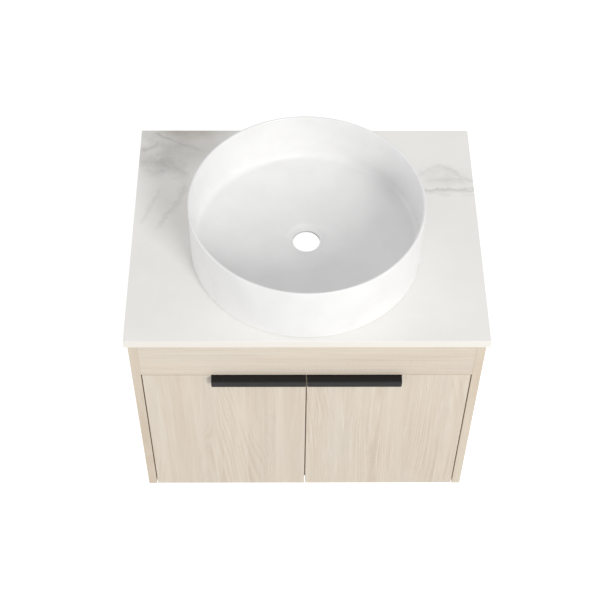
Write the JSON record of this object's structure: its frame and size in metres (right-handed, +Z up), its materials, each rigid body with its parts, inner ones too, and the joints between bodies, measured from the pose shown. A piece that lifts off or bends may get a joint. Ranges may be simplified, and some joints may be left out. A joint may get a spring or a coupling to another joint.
{
  "type": "vessel sink on vanity",
  "caption": "Wall-hung two-door oak bathroom vanity with a white stone countertop and a round white vessel basin.",
  "frame": {"origin": "bottom centre of the cabinet, on the wall plane", "axes": "+X along the width to the right as seen from the front, +Y into the wall, +Z up; the doors face -Y"},
  "size_m": [0.6, 0.4875, 0.584],
  "materials": {
    "glazed_white": "soft gloss white glaze",
    "clear_silicone": "translucent white silicone",
    "veined_stone": "honed white stone with grey veins",
    "pale_oak_board": "whitened oak face, matt",
    "pale_oak_across": "whitened oak face, grain running across, matt",
    "pale_oak_door": "whitened oak face, upright cathedral grain, matt",
    "beech": "plain turned beech",
    "zinc_steel": "bright zinc plate",
    "zinc_cast": "die-cast zinc",
    "soft_clear": "soft clear pad",
    "black_metal": "fine matt black powder coat on folded sheet",
    "dark_screw": "blackened steel",
    "hinge_nickel": "nickel-plated pressed steel",
    "hinge_pin": "ground steel"
  },
  "bodies": {
    "cabinet": {"basin": "glazed_white", "basin_sealant": "clear_silicone", "countertop": "veined_stone", "side_panel_left": "pale_oak_board", "side_panel_right": "pale_oak_board", "bottom_panel": "pale_oak_board", "front_rail": "pale_oak_across", "back_rail_top": "pale_oak_board", "back_rail_bottom": "pale_oak_board", "panel_dowels": "beech", "cam_bolts": "zinc_steel", "cam_locks": "zinc_cast", "door_bumpers": "soft_clear", "hinge_arms_left": "hinge_nickel", "hinge_plates_left": "hinge_nickel", "hinge_plate_screws_left": "zinc_steel", "hinge_arm_screws_left": "zinc_steel", "hinge_arms_right": "hinge_nickel", "hinge_plates_right": "hinge_nickel", "hinge_plate_screws_right": "zinc_steel", "hinge_arm_screws_right": "zinc_steel"},
    "left_door": {"door_left": "pale_oak_door", "handle_left": "black_metal", "handle_screws_left": "dark_screw", "hinge_cups_left": "hinge_nickel", "hinge_cup_screws_left": "zinc_steel", "hinge_pins_left": "hinge_pin"},
    "right_door": {"door_right": "pale_oak_door", "handle_right": "black_metal", "handle_screws_right": "dark_screw", "hinge_cups_right": "hinge_nickel", "hinge_cup_screws_right": "zinc_steel", "hinge_pins_right": "hinge_pin"}
  },
  "joints": [
    {"name": "left_door_hinge", "type": "hinge", "parent": "cabinet", "child": "left_door", "pos_m": [-0.253, -0.465, 0.185], "axis": [0, 0, -1], "range_deg": [0, 100]},
    {"name": "right_door_hinge", "type": "hinge", "parent": "cabinet", "child": "right_door", "pos_m": [0.253, -0.465, 0.185], "axis": [0, 0, 1], "range_deg": [0, 100]}
  ]
}
